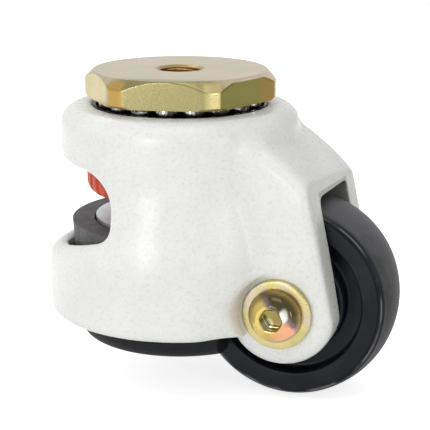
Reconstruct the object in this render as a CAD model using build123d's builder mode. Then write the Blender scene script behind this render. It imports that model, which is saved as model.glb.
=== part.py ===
from build123d import *
from math import hypot, pi, radians, sqrt, tan
import os

# Levelling castor, in millimetres. The origin is the middle of the threaded mounting hole, on the
# top face of the head. +Z is up, the wheel stands towards +X and its axle lies along Y.

# ---------------------------------------------------------------- driving dimensions
overall_height = 79.2

# Mounting head: a hexagon with turned corners and a hollow boss below it
head_across_flats = 43.0
head_corner_diameter = 47.6
head_height = 6.9
head_top_chamfer = 2.4
head_bottom_chamfer = 0.6
head_turn = 9.5                 # degrees from the fork's direction
mount_thread = 12.0
mount_thread_height = 0.9       # radial
mount_thread_depth = 9.0
mount_chamfer_depth = 0.5
boss_diameter = 26.6
boss_tail = 1.1                 # boss below its retaining ring

# Swivel bearing: two rows of balls, one above and one below the web of the housing
upper_race_diameter = 43.0
upper_race_height = 4.5
upper_race_land = 0.65          # beside the balls
lower_race_diameter = 40.0
lower_race_height = 3.4
lower_race_land = 0.4
cone_height = 3.3
cone_clearance = 0.4            # between the retaining race and the housing
ball_play = 0.15                # between a ball and its groove
ball_spacing = 0.2              # between neighbours, at least
upper_gap = 1.6                 # open gap between head and housing
lower_gap = 1.6
swivel_clearance = 0.9          # round the boss, radial
ring_clip_thickness = 1.2
ring_clip_width = 2.6           # radial
ring_clip_gap = 3.0             # between its ends
ring_groove_depth = 0.8

# Housing: one casting with a round body, a hood over the wheel and two fork legs
ring_radius = 29.6
ring_top_round = 4.6
ring_height = 13.7              # from the top of the housing to the top of the window
skirt_radius = 33.0
chamber_ring_wall = 1.4         # between the foot's chamber and the outside of the ring
chamber_skirt_wall = 4.8
sill_margin = 0.28              # from the lowest point of the window to the straight skirt
skirt_edge_round = 1.8
housing_height = 51.7
web_thickness = 2.0
window_end_x = -6.1
window_end_height = 14.8
window_slope = 16.4             # degrees that the sill falls towards the front
window_top_round = 5.0
window_sill_round = 3.5
window_edge_round = 3.0
wheel_well_gap = 3.5            # round the tread
leg_thickness = 8.1
leg_end_margin = 5.0            # round the washer
fork_edge_round = 3.0
hood_start_x = 26.0
hood_start_drop = 2.5           # below the top of the housing
hood_tip_reach = 10.0           # beyond the axle
hood_tip_drop = 16.4
hood_tip_round = 4.0
fork_blend = 12.0               # between the round body and the fork
fork_root_inset = 0.6           # of the fork's root inside the round body
fork_root_drop = 3.0            # below the top of the housing
nearly = 0.01                   # within this of a level counts as on it
web_overlap = 0.15              # of the corner webs into the walls that they join
web_depth = 5.0
flare_steps = 6
spot_face_margin = 1.0          # round the washer

# Wheel, its two ball bearings and the axle
wheel_diameter = 50.0
wheel_width = 19.4
wheel_swivel_gap = 6.0          # from the swivel axis to the tread, at least
wheel_dial_gap = 1.0            # from the dial's lower edge to the tread, at least
tread_edge_drop = 1.3
tread_edge_inset = 1.0
side_lip_drop = 2.7
side_groove_width = 0.5
side_groove_depth = 0.5
rim_thickness = 4.2
side_recess_depth = 4.6
hub_wall = 2.8
bearing_outer_diameter = 22.0
bearing_bore = 8.0
bearing_width = 7.0
bearing_ring_wall = 1.7
bearing_ball_diameter = 4.0
bearing_ball_count = 7
bearing_shoulder = 2.5          # behind the outer ring
spacer_tube_wall = 1.5
spacer_washer_wall = 2.0
spacer_washer_thickness = 0.8
axle_clearance = 0.1            # in the bearings, on the diameter
axle_hole_clearance = 0.2       # of the legs, washers and spacers, on the diameter
bolt_head_diameter = 13.0
bolt_head_height = 4.4
bolt_head_rim = 0.8
bolt_crown_radius = 3.5
bolt_dome_radius = 5.2
bolt_socket_size = 5.0
bolt_socket_depth = 2.6
bolt_end_chamfer = 0.8
bolt_tail = 1.6                 # beyond the nut
washer_diameter = 17.0
washer_thickness = 1.6
nut_size = 13.0
nut_height = 8.0
nut_collar_height = 1.9
nut_collar_diameter = 11.6

# Levelling foot, its screw, and the dial that lowers it
foot_clearance = 12.4           # from the floor to the raised foot
finger_gap = 7.2                # between the dial and the raised foot
foot_chamber_gap = 1.0
foot_draft = 1.9
foot_edge_round = 3.0
foot_leg_gap = 1.2              # between the foot's flat side and the ends of the legs
foot_wheel_gap = 0.6
foot_wheel_side_gap = 1.6
foot_guide_clearance = 0.7
foot_plate_border = 5.9         # of rubber round the plate
foot_plate_thickness = 2.5
foot_plate_rise = 0.8           # above the rubber
foot_plate_gap = 0.5            # round the plate
screw_diameter = 9.9
screw_top_gap = 1.2             # below the mounting thread
screw_rivet_diameter = 6.4
screw_rivet_head_diameter = 9.0
screw_rivet_head_height = 1.5
screw_end_chamfer = 1.0
dial_race_gap = 0.8             # between the dial's rim and the retaining race
dial_chamber_gap = 1.2          # round the dial
dial_deck_gap = 2.1             # above the dial
dial_step_gap = 0.7             # from the dial's lower edge to the foot's chamber
dial_height = 6.5
dial_rim_thickness = 2.9
dial_web_thickness = 2.7
dial_gap = 1.0                  # between the boss and the dial
dial_hub_diameter = 22.0
dial_hub_height = 2.0
dial_grip_count = 36
dial_grip_diameter = 2.0
dial_nut_size = 15.0
dial_nut_tail = 1.0             # below the dial's hub
screw_clearance = 0.15          # in the dial's nut, radial
nut_shank_diameter = 16.4
nut_journal_diameter = 18.0
nut_journal_height = 5.0
nut_flange_diameter = 20.8
nut_flange_thickness = 1.9
nut_step_depth = 10.5           # of the step in the boss, below the top of the housing
nut_clip_thickness = 1.2
nut_clip_width = 2.8
nut_clip_gap = 3.0
nut_groove_depth = 0.9
journal_clearance = 0.15        # radial
flange_clearance = 0.15         # axial

# ---------------------------------------------------------------- radii
mount_tap_radius = mount_thread / 2 - mount_thread_height
boss_radius = boss_diameter / 2
deck_bore_radius = boss_radius + swivel_clearance
upper_race_radius = upper_race_diameter / 2
upper_ball_orbit = (upper_race_radius + deck_bore_radius) / 2
upper_ball_diameter = upper_race_radius - deck_bore_radius - 2 * upper_race_land
upper_ball_count = int(2 * pi * upper_ball_orbit / (upper_ball_diameter + ball_spacing))
lower_race_radius = lower_race_diameter / 2
lower_ball_orbit = (lower_race_radius + deck_bore_radius) / 2
lower_ball_diameter = lower_race_radius - deck_bore_radius - 2 * lower_race_land
lower_ball_count = int(2 * pi * lower_ball_orbit / (lower_ball_diameter + ball_spacing))
cone_radius = lower_race_radius - cone_clearance
nut_bore_radius = nut_journal_diameter / 2 + journal_clearance
nut_counterbore_radius = nut_flange_diameter / 2 + 2 * journal_clearance
nut_groove_radius = nut_counterbore_radius + nut_groove_depth
ring_groove_radius = boss_radius - ring_groove_depth
screw_radius = screw_diameter / 2

dial_rim_radius = cone_radius + dial_race_gap
dial_radius = dial_rim_radius + dial_rim_thickness
dial_chamber_radius = dial_radius + dial_chamber_gap
foot_chamber_radius = min(ring_radius - chamber_ring_wall, skirt_radius - chamber_skirt_wall)
foot_top_radius = foot_chamber_radius - foot_chamber_gap
foot_bottom_radius = foot_top_radius - foot_draft
foot_plate_radius = foot_top_radius - foot_plate_border

wheel_radius = wheel_diameter / 2
side_lip_radius = wheel_radius - side_lip_drop
side_recess_radius = side_lip_radius - rim_thickness
bearing_radius = bearing_outer_diameter / 2
wheel_hub_radius = bearing_radius + hub_wall
bearing_bore_radius = bearing_bore / 2
bearing_orbit = (bearing_radius + bearing_bore_radius) / 2
axle_hole_radius = (bearing_bore + axle_hole_clearance) / 2
spot_face_radius = washer_diameter / 2 + spot_face_margin
leg_end_radius = washer_diameter / 2 + leg_end_margin

# ---------------------------------------------------------------- levels and places
floor_z = -overall_height
axle_z = floor_z + wheel_radius
head_bottom_z = -head_height
housing_top_z = head_bottom_z - upper_gap
upper_ball_z = housing_top_z + upper_gap / 2
web_top_z = housing_top_z - upper_race_height
web_bottom_z = web_top_z - web_thickness
lower_race_bottom_z = web_bottom_z - lower_race_height
lower_ball_z = lower_race_bottom_z - lower_gap / 2
cone_top_z = lower_race_bottom_z - lower_gap
cone_bottom_z = cone_top_z - cone_height
ring_clip_bottom_z = cone_bottom_z - ring_clip_thickness
boss_end_z = ring_clip_bottom_z - boss_tail

dial_web_top_z = boss_end_z - dial_gap
dial_bottom_z = dial_web_top_z - dial_web_thickness
dial_hub_bottom_z = dial_bottom_z - dial_hub_height
dial_nut_bottom_z = dial_hub_bottom_z - dial_nut_tail
nut_step_z = housing_top_z - nut_step_depth
nut_flange_top_z = nut_step_z - flange_clearance
nut_flange_bottom_z = nut_flange_top_z - nut_flange_thickness
nut_clip_top_z = nut_flange_bottom_z - flange_clearance

foot_bottom_z = floor_z + foot_clearance
foot_plate_top_z = dial_bottom_z - finger_gap
foot_plate_bottom_z = foot_plate_top_z - foot_plate_thickness
foot_top_z = foot_plate_top_z - foot_plate_rise
screw_top_z = -mount_thread_depth - screw_top_gap

# The wheel keeps clear of the swivel axis and of the dial's lower edge
wheel_reach = (wheel_radius + wheel_dial_gap) ** 2 - (dial_bottom_z - axle_z) ** 2
axle_offset = max(wheel_radius + wheel_swivel_gap, dial_radius + sqrt(max(0, wheel_reach)))
hood_tip_x = axle_offset + hood_tip_reach
hood_fall = (hood_tip_drop - hood_start_drop) / (hood_tip_x - hood_start_x)
foot_notch_x = axle_offset - wheel_radius - foot_wheel_gap
foot_notch_width = wheel_width + 2 * foot_wheel_side_gap
foot_front_x = axle_offset - leg_end_radius - foot_leg_gap

deck_bottom_z = dial_bottom_z + dial_height + dial_deck_gap
window_top_z = housing_top_z - ring_height
foot_chamber_top_z = dial_bottom_z - dial_step_gap
dial_chamber_height = deck_bottom_z - foot_chamber_top_z
housing_bottom_z = housing_top_z - housing_height
sill_end_z = window_top_z - window_end_height
sill_fall = tan(radians(window_slope))
skirt_top_z = sill_end_z - (skirt_radius + window_end_x) * sill_fall - sill_margin

bearing_face_y = wheel_width / 2
bearing_back_y = bearing_face_y - bearing_width
well_half_width = bearing_face_y + spacer_washer_thickness
fork_half_width = well_half_width + leg_thickness
clamp_y = fork_half_width + washer_thickness
side_plane = Plane(origin=(axle_offset, 0, axle_z), x_dir=(1, 0, 0), z_dir=(0, -1, 0))
radial_plane = Plane(origin=(axle_offset, 0, axle_z), x_dir=(1, 0, 0), z_dir=(0, 0, 1))
axle_axis = Axis((axle_offset, 0, axle_z), (0, 1, 0))


def save(solid, name):
    """Label a finished piece and write its STEP file."""
    solid.label = name
    export_step(solid, f"parts/{name}.step")


os.makedirs("parts", exist_ok=True)

# ---------------------------------------------------------------- head and swivel bearing
with BuildPart() as head:
    with BuildSketch(Plane.XY.offset(head_bottom_z)):
        Circle(head_corner_diameter / 2)
        RegularPolygon(head_across_flats / 2, 6, major_radius=False, rotation=head_turn,
                       mode=Mode.INTERSECT)
    extrude(amount=head_height)
    # The turned cone that takes the corners off, as on a nut
    with BuildSketch(Plane.XZ):
        with BuildLine():
            corner = head_corner_diameter / 2
            outside = corner + head_top_chamfer
            Polyline((corner - head_top_chamfer, 0), (corner, -head_top_chamfer),
                     (outside, -head_top_chamfer), (outside, 0), close=True)
        make_face()
        with BuildLine():
            Polyline((corner - head_bottom_chamfer, head_bottom_z),
                     (corner, head_bottom_z + head_bottom_chamfer),
                     (outside, head_bottom_z + head_bottom_chamfer),
                     (outside, head_bottom_z), close=True)
        make_face()
    revolve(axis=Axis.Z, mode=Mode.SUBTRACT)
    # Boss, with the groove of its retaining ring
    with BuildSketch(Plane.XY.offset(boss_end_z)):
        Circle(boss_radius)
    extrude(amount=head_bottom_z - boss_end_z)
    with BuildSketch(Plane.XY.offset(ring_clip_bottom_z)):
        Circle(boss_radius)
        Circle(ring_groove_radius, mode=Mode.SUBTRACT)
    extrude(amount=ring_clip_thickness, mode=Mode.SUBTRACT)
    # Groove for the upper balls
    with BuildSketch(Plane.XZ):
        with Locations((upper_ball_orbit, upper_ball_z)):
            Circle(upper_ball_diameter / 2 + ball_play)
    revolve(axis=Axis.Z, mode=Mode.SUBTRACT)
    # Threaded hole, the chamber above the screw, and the seat of the dial nut
    with BuildSketch(Plane.XZ):
        with BuildLine():
            Polyline((0, 0), (mount_thread / 2, 0), (mount_tap_radius, -mount_chamfer_depth),
                     (mount_tap_radius, -mount_thread_depth),
                     (nut_bore_radius, -mount_thread_depth), (nut_bore_radius, nut_step_z),
                     (nut_counterbore_radius, nut_step_z), (nut_counterbore_radius, nut_clip_top_z),
                     (nut_groove_radius, nut_clip_top_z),
                     (nut_groove_radius, nut_clip_top_z - nut_clip_thickness),
                     (nut_counterbore_radius, nut_clip_top_z - nut_clip_thickness),
                     (nut_counterbore_radius, boss_end_z), (0, boss_end_z), close=True)
        make_face()
    revolve(axis=Axis.Z, mode=Mode.SUBTRACT)
save(head.part, "mounting_head")

with BuildPart() as upper_balls:
    with PolarLocations(upper_ball_orbit, upper_ball_count):
        with Locations((0, 0, upper_ball_z)):
            Sphere(upper_ball_diameter / 2)
save(upper_balls.part, "upper_balls")

with BuildPart() as lower_balls:
    with PolarLocations(lower_ball_orbit, lower_ball_count):
        with Locations((0, 0, lower_ball_z)):
            Sphere(lower_ball_diameter / 2)
save(lower_balls.part, "lower_balls")


def race_ring(inner_radius, outer_radius, bottom_z, height, orbit, ball, ball_z):
    """A flat ring with a ball groove turned into one face."""
    with BuildPart() as ring:
        with BuildSketch(Plane.XY.offset(bottom_z)):
            Circle(outer_radius)
            Circle(inner_radius, mode=Mode.SUBTRACT)
        extrude(amount=height)
        with BuildSketch(Plane.XZ):
            with Locations((orbit, ball_z)):
                Circle(ball / 2 + ball_play)
        revolve(axis=Axis.Z, mode=Mode.SUBTRACT)
    return ring.part


upper_race = race_ring(deck_bore_radius, upper_race_radius, web_top_z, upper_race_height,
                       upper_ball_orbit, upper_ball_diameter, upper_ball_z)
save(upper_race, "upper_race")
lower_race = race_ring(deck_bore_radius, lower_race_radius, lower_race_bottom_z,
                       lower_race_height, lower_ball_orbit, lower_ball_diameter, lower_ball_z)
save(lower_race, "lower_race")
cone_race = race_ring(boss_radius, cone_radius, cone_bottom_z, cone_height,
                      lower_ball_orbit, lower_ball_diameter, lower_ball_z)
save(cone_race, "retaining_race")


def snap_ring(inner_radius, outer_radius, bottom_z, thickness, gap):
    """A retaining ring with its ends apart, on the -X side."""
    with BuildPart() as ring:
        with BuildSketch(Plane.XY.offset(bottom_z)):
            Circle(outer_radius)
            Circle(inner_radius, mode=Mode.SUBTRACT)
            Rectangle(2 * outer_radius, gap, align=(Align.MAX, Align.CENTER), mode=Mode.SUBTRACT)
        extrude(amount=thickness)
    return ring.part


ring_clip = snap_ring(ring_groove_radius, ring_groove_radius + ring_clip_width,
                      ring_clip_bottom_z, ring_clip_thickness, ring_clip_gap)
save(ring_clip, "race_snap_ring")
nut_clip = snap_ring(nut_groove_radius - nut_clip_width, nut_groove_radius,
                     nut_clip_top_z - nut_clip_thickness, nut_clip_thickness, nut_clip_gap)
save(nut_clip, "nut_snap_ring")

# ---------------------------------------------------------------- housing
window_far_x = window_end_x - skirt_radius
sill_far_z = sill_end_z - skirt_radius * sill_fall
window_rim_round = min(window_edge_round, ring_radius - dial_chamber_radius - chamber_ring_wall)
fork_root_z = housing_top_z - fork_root_drop
fork_root_x = hood_tip_x - (hood_tip_drop - fork_root_drop) / hood_fall
hood_tip = (hood_tip_x, housing_top_z - hood_tip_drop)
leg_front = (axle_offset + leg_end_radius, axle_z)

# Round body: hollow, and open at the sides and the rear through the window
with BuildPart() as round_body:
    with BuildSketch(Plane.XZ) as body_profile:
        with BuildLine():
            Polyline((skirt_radius, skirt_top_z), (skirt_radius, housing_bottom_z),
                     (0, housing_bottom_z), (0, housing_top_z), (ring_radius, housing_top_z),
                     (ring_radius, window_top_z))
            flare = Spline((ring_radius, window_top_z), (skirt_radius, skirt_top_z),
                           tangents=[(0, -1), (0, -1)])
        make_face()
        ring_corner = body_profile.vertices().sort_by_distance((ring_radius, housing_top_z))[0]
        fillet(ring_corner, ring_top_round)
        skirt_corner = body_profile.vertices().sort_by_distance((skirt_radius, housing_bottom_z))[0]
        fillet(skirt_corner, skirt_edge_round)
    revolve(axis=Axis.Z)
    with BuildSketch(Plane.XY.offset(housing_bottom_z)):
        Circle(foot_chamber_radius)
    extrude(amount=foot_chamber_top_z - housing_bottom_z, mode=Mode.SUBTRACT)
    with BuildSketch(Plane.XY.offset(foot_chamber_top_z)):
        Circle(dial_chamber_radius)
    extrude(amount=dial_chamber_height, mode=Mode.SUBTRACT)
    with BuildSketch(Plane.XZ) as window:
        with BuildLine():
            Polyline((window_end_x, window_top_z), (window_far_x, window_top_z),
                     (window_far_x, sill_far_z), (window_end_x, sill_end_z), close=True)
        make_face()
        fillet(window.vertices().sort_by_distance((window_end_x, window_top_z))[0],
               window_top_round)
        fillet(window.vertices().sort_by_distance((window_end_x, sill_end_z))[0],
               window_sill_round)
    extrude(amount=2 * skirt_radius, both=True, mode=Mode.SUBTRACT)
    # The rim of the window is one smooth chain, so rounding its sill rounds all of it
    sill = (round_body.edges(Select.LAST)
            .filter_by(lambda edge: hypot((edge @ 0.5).X, (edge @ 0.5).Y) > ring_radius)
            .filter_by(lambda edge: (edge @ 0.5).Z < sill_end_z)
            .filter_by(GeomType.LINE, reverse=True))
    fillet(sill, window_rim_round)

# Hood and fork legs: the plan and the side view, each extruded, where they meet
with BuildPart() as fork:
    with BuildSketch(Plane.XY.offset(housing_bottom_z)) as fork_plan:
        Circle(ring_radius - fork_root_inset)
        Rectangle(2 * leg_front[0], 2 * fork_half_width, align=(Align.MIN, Align.CENTER))
        neck = (fork_plan.vertices().filter_by_position(Axis.X, 1, ring_radius)
                .filter_by(lambda corner: abs(corner.Y) > fork_half_width - nearly))
        fillet(neck, fork_blend)
    extrude(amount=fork_root_z - housing_bottom_z)
    with BuildSketch(Plane.XZ) as fork_side:
        with BuildLine():
            Polyline(hood_tip, (fork_root_x, fork_root_z), (0, fork_root_z), (0, housing_bottom_z),
                     (axle_offset, housing_bottom_z), (axle_offset, axle_z), leg_front)
            TangentArc(leg_front, hood_tip, tangent=(0, 1))
        make_face()
        with Locations((axle_offset, axle_z)):
            Circle(leg_end_radius)
        with Locations((0, housing_bottom_z)):
            Rectangle(4 * leg_front[0], 2 * leg_end_radius, align=(Align.CENTER, Align.MAX),
                      mode=Mode.SUBTRACT)
        fillet(fork_side.vertices().sort_by_distance(hood_tip)[0], hood_tip_round)
    extrude(amount=skirt_radius, both=True, mode=Mode.INTERSECT)
    with BuildSketch(side_plane):
        Circle(leg_end_radius)
    extrude(amount=fork_half_width, both=True)
    flanks = (fork.edges()
              .filter_by(lambda edge: abs((edge @ 0.5).Y) > fork_half_width - nearly)
              .filter_by(lambda edge: (edge @ 0.5).X > axle_offset
                         or (edge @ 0.5).Z < housing_bottom_z - nearly))
    fillet(flanks, fork_edge_round)


def web_section(radius, z):
    """The filled corner between a round of this radius and the outside of a leg."""
    reach = radius + fork_blend
    corner_y = fork_half_width + fork_blend
    corner_x = sqrt(reach ** 2 - corner_y ** 2)
    arc_radius = fork_blend + web_overlap
    on_round = (corner_x * (1 - arc_radius / reach), corner_y * (1 - arc_radius / reach))
    on_leg = (corner_x, fork_half_width - web_overlap)
    with BuildSketch(Plane.XY.offset(z)) as section:
        with BuildLine():
            RadiusArc(on_round, on_leg, -arc_radius)
            Polyline(on_leg, (on_leg[0], on_leg[1] - web_depth),
                     (on_round[0], on_leg[1] - web_depth), on_round)
        make_face()
    return section.sketch


# Webs that fill the corner between body and fork, and follow the flare of the body
flare_points = [flare @ (step / flare_steps) for step in range(flare_steps + 1)]
web_sections = [web_section(ring_radius, fork_root_z)]
web_sections += [web_section(point.X, point.Y) for point in flare_points]
web_sections += [web_section(skirt_radius, housing_bottom_z)]
with BuildPart() as corner_webs:
    loft(web_sections, ruled=True)
    mirror(about=Plane.XZ)

with BuildPart() as housing:
    add(round_body.part)
    add(fork.part)
    add(corner_webs.part)
    # Room for the foot, which runs close to the inner ends of the legs
    with BuildSketch(Plane.XY.offset(housing_bottom_z - leg_end_radius)):
        Circle(foot_chamber_radius)
        with Locations((foot_front_x + foot_guide_clearance, 0)):
            Rectangle(skirt_radius, 2 * fork_half_width, align=(Align.MIN, Align.CENTER),
                      mode=Mode.SUBTRACT)
    extrude(amount=foot_chamber_top_z - housing_bottom_z + leg_end_radius, mode=Mode.SUBTRACT)
    with BuildSketch(Plane.XY.offset(foot_chamber_top_z)):
        Circle(dial_chamber_radius)
    extrude(amount=dial_chamber_height, mode=Mode.SUBTRACT)
    # Well for the wheel, and the axle holes
    with BuildSketch(side_plane):
        Circle(wheel_radius + wheel_well_gap)
    extrude(amount=well_half_width, both=True, mode=Mode.SUBTRACT)
    with BuildSketch(side_plane):
        Circle(axle_hole_radius)
    extrude(amount=fork_half_width, both=True, mode=Mode.SUBTRACT)
    # Spot faces for the washers, where the skirt swells past the legs
    for sign in (-1, 1):
        with BuildSketch(side_plane.offset(sign * fork_half_width)):
            Circle(spot_face_radius)
        extrude(amount=sign * skirt_radius, mode=Mode.SUBTRACT)
    # Bore for the boss and the seats of the two races
    with BuildSketch(Plane.XZ):
        with BuildLine():
            Polyline((0, housing_top_z), (upper_race_radius, housing_top_z),
                     (upper_race_radius, web_top_z), (deck_bore_radius, web_top_z),
                     (deck_bore_radius, web_bottom_z), (lower_race_radius, web_bottom_z),
                     (lower_race_radius, deck_bottom_z), (0, deck_bottom_z), close=True)
        make_face()
    revolve(axis=Axis.Z, mode=Mode.SUBTRACT)
save(housing.part, "housing")

# ---------------------------------------------------------------- dial and its nut
with BuildPart() as dial:
    with BuildSketch(Plane.XY.offset(dial_bottom_z)):
        Circle(dial_radius)
        with PolarLocations(dial_radius, dial_grip_count):
            Circle(dial_grip_diameter / 2, mode=Mode.SUBTRACT)
    extrude(amount=dial_height)
    with BuildSketch(Plane.XY.offset(dial_web_top_z)):
        Circle(dial_rim_radius)
    extrude(amount=dial_height, mode=Mode.SUBTRACT)
    with BuildSketch(Plane.XY.offset(dial_hub_bottom_z)):
        Circle(dial_hub_diameter / 2)
    extrude(amount=dial_hub_height)
    with BuildSketch(Plane.XY.offset(dial_hub_bottom_z)):
        RegularPolygon(dial_nut_size / 2, 6, major_radius=False)
    extrude(amount=dial_height, mode=Mode.SUBTRACT)
save(dial.part, "dial")

with BuildPart() as dial_nut:
    with BuildSketch(Plane.XY.offset(dial_nut_bottom_z)):
        RegularPolygon(dial_nut_size / 2, 6, major_radius=False)
    extrude(amount=dial_web_top_z - dial_nut_bottom_z)
    with BuildSketch(Plane.XZ):
        with BuildLine():
            journal_radius = nut_journal_diameter / 2
            journal_top_z = nut_flange_top_z + nut_journal_height
            Polyline((0, dial_web_top_z), (nut_shank_diameter / 2, dial_web_top_z),
                     (nut_shank_diameter / 2, nut_flange_bottom_z),
                     (nut_flange_diameter / 2, nut_flange_bottom_z),
                     (nut_flange_diameter / 2, nut_flange_top_z),
                     (journal_radius, nut_flange_top_z), (journal_radius, journal_top_z),
                     (0, journal_top_z), close=True)
        make_face()
    revolve(axis=Axis.Z)
    with BuildSketch(Plane.XY.offset(dial_nut_bottom_z)):
        Circle(screw_radius + screw_clearance)
    extrude(amount=journal_top_z - dial_nut_bottom_z, mode=Mode.SUBTRACT)
save(dial_nut.part, "dial_nut")

# ---------------------------------------------------------------- levelling foot
with BuildPart() as foot_pad:
    with BuildSketch(Plane.XZ) as pad_profile:
        with BuildLine():
            seat_radius = foot_plate_radius + foot_plate_gap
            Polyline((0, foot_bottom_z), (foot_bottom_radius, foot_bottom_z),
                     (foot_top_radius, foot_top_z), (seat_radius, foot_top_z),
                     (seat_radius, foot_plate_bottom_z), (0, foot_plate_bottom_z), close=True)
        make_face()
        fillet(pad_profile.vertices().sort_by_distance((foot_bottom_radius, foot_bottom_z))[0],
               foot_edge_round)
    revolve(axis=Axis.Z)
    with BuildSketch(Plane.XY.offset(foot_bottom_z)):
        with Locations((foot_front_x, 0)):
            Rectangle(foot_top_radius, 2 * foot_top_radius, align=(Align.MIN, Align.CENTER))
        with Locations((foot_notch_x, 0)):
            Rectangle(foot_top_radius, foot_notch_width, align=(Align.MIN, Align.CENTER))
    extrude(amount=foot_top_z - foot_bottom_z, mode=Mode.SUBTRACT)
save(foot_pad.part, "foot_pad")

with BuildPart() as foot_plate:
    with BuildSketch(Plane.XY.offset(foot_plate_bottom_z)):
        Circle(foot_plate_radius)
        with Locations((foot_front_x, 0)):
            Rectangle(foot_top_radius, 2 * foot_top_radius, align=(Align.MIN, Align.CENTER),
                      mode=Mode.SUBTRACT)
        with Locations((foot_notch_x, 0)):
            Rectangle(foot_top_radius, foot_notch_width, align=(Align.MIN, Align.CENTER),
                      mode=Mode.SUBTRACT)
    extrude(amount=foot_plate_thickness)
    with Locations((0, 0, foot_plate_bottom_z)):
        Cone(screw_rivet_head_diameter / 2, screw_rivet_diameter / 2, screw_rivet_head_height,
             align=(Align.CENTER, Align.CENTER, Align.MIN), mode=Mode.SUBTRACT)
    with BuildSketch(Plane.XY.offset(foot_plate_bottom_z)):
        Circle(screw_rivet_diameter / 2)
    extrude(amount=foot_plate_thickness, mode=Mode.SUBTRACT)
save(foot_plate.part, "foot_plate")

with BuildPart() as foot_screw:
    with BuildSketch(Plane.XZ):
        with BuildLine():
            rivet_radius = screw_rivet_diameter / 2
            rivet_shoulder_z = foot_plate_bottom_z + screw_rivet_head_height
            Polyline((0, screw_top_z), (screw_radius - screw_end_chamfer, screw_top_z),
                     (screw_radius, screw_top_z - screw_end_chamfer),
                     (screw_radius, foot_plate_top_z), (rivet_radius, foot_plate_top_z),
                     (rivet_radius, rivet_shoulder_z),
                     (screw_rivet_head_diameter / 2, foot_plate_bottom_z),
                     (0, foot_plate_bottom_z), close=True)
        make_face()
    revolve(axis=Axis.Z)
save(foot_screw.part, "foot_screw")

# ---------------------------------------------------------------- wheel and its bearings
with BuildPart() as wheel:
    with BuildSketch(radial_plane):
        with BuildLine():
            bore_radius = bearing_radius - bearing_shoulder
            recess_floor_y = bearing_face_y - side_recess_depth
            groove_floor_y = bearing_face_y - side_groove_depth
            groove_radius = side_lip_radius + side_groove_width
            tread_edge = (wheel_radius - tread_edge_drop, bearing_face_y - tread_edge_inset)
            Polyline((bore_radius, 0), (bore_radius, bearing_back_y),
                     (bearing_radius, bearing_back_y), (bearing_radius, bearing_face_y),
                     (wheel_hub_radius, bearing_face_y), (wheel_hub_radius, recess_floor_y),
                     (side_recess_radius, recess_floor_y), (side_recess_radius, bearing_face_y),
                     (side_lip_radius, bearing_face_y), (side_lip_radius, groove_floor_y),
                     (groove_radius, groove_floor_y), tread_edge)
            TangentArc((wheel_radius, 0), tread_edge, tangent=(0, 1))
            mirror(about=Plane.XZ)
        make_face()
    revolve(axis=axle_axis)
save(wheel.part, "wheel")


def turned(profile):
    """A ring turned about the axle, from its (radius, y) outline."""
    with BuildPart() as ring:
        with BuildSketch(radial_plane):
            with BuildLine():
                Polyline(*profile, close=True)
            make_face()
        revolve(axis=axle_axis)
    return ring.part


def tube(inner_radius, outer_radius, start_y, end_y):
    """A plain tube or washer round the axle."""
    return turned([(inner_radius, start_y), (outer_radius, start_y),
                   (outer_radius, end_y), (inner_radius, end_y)])


def grooved_ring(inner_radius, outer_radius, start_y, end_y):
    """A bearing ring with its ball groove."""
    with BuildPart() as ring:
        add(tube(inner_radius, outer_radius, start_y, end_y))
        with BuildSketch(radial_plane):
            with Locations((bearing_orbit, (start_y + end_y) / 2)):
                Circle(bearing_ball_diameter / 2 + ball_play)
        revolve(axis=axle_axis, mode=Mode.SUBTRACT)
    return ring.part


for side, sign in (("near", -1), ("far", 1)):
    face_y = sign * bearing_face_y
    back_y = sign * bearing_back_y
    outer_ring = grooved_ring(bearing_radius - bearing_ring_wall, bearing_radius, back_y, face_y)
    save(outer_ring, f"{side}_bearing_outer_ring")
    inner_ring = grooved_ring(bearing_bore_radius, bearing_bore_radius + bearing_ring_wall,
                              back_y, face_y)
    save(inner_ring, f"{side}_bearing_inner_ring")
    with BuildPart() as bearing_balls:
        middle = Plane(origin=(axle_offset, (face_y + back_y) / 2, axle_z), z_dir=(0, 1, 0))
        with Locations(middle):
            with PolarLocations(bearing_orbit, bearing_ball_count):
                Sphere(bearing_ball_diameter / 2)
    save(bearing_balls.part, f"{side}_bearing_balls")
    spacer_washer = tube(axle_hole_radius, axle_hole_radius + spacer_washer_wall,
                         face_y, sign * well_half_width)
    save(spacer_washer, f"{side}_spacer_washer")

bearing_spacer = tube(axle_hole_radius, axle_hole_radius + spacer_tube_wall,
                      -bearing_back_y, bearing_back_y)
save(bearing_spacer, "bearing_spacer")

# ---------------------------------------------------------------- axle bolt, washers and nut
washer_radius = washer_diameter / 2
bolt_washer = tube(axle_hole_radius, washer_radius, -clamp_y, -fork_half_width)
save(bolt_washer, "bolt_washer")
nut_washer = tube(axle_hole_radius, washer_radius, fork_half_width, clamp_y)
save(nut_washer, "nut_washer")

with BuildPart() as axle_bolt:
    with BuildSketch(radial_plane):
        with BuildLine():
            bolt_radius = bearing_bore_radius - axle_clearance / 2
            head_radius = bolt_head_diameter / 2
            end_y = clamp_y + nut_height + bolt_tail
            crown_y = -clamp_y - bolt_head_height
            rim = (head_radius, -clamp_y - bolt_head_rim)
            crown = (bolt_crown_radius, crown_y)
            Polyline(crown, (0, crown_y), (0, end_y), (bolt_radius - bolt_end_chamfer, end_y),
                     (bolt_radius, end_y - bolt_end_chamfer), (bolt_radius, -clamp_y),
                     (head_radius, -clamp_y), rim)
            RadiusArc(rim, crown, -bolt_dome_radius)
        make_face()
    revolve(axis=axle_axis)
    with BuildSketch(side_plane.offset(clamp_y + bolt_head_height)):
        RegularPolygon(bolt_socket_size / 2, 6, major_radius=False)
    extrude(amount=-bolt_socket_depth, mode=Mode.SUBTRACT)
save(axle_bolt.part, "axle_bolt")

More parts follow.
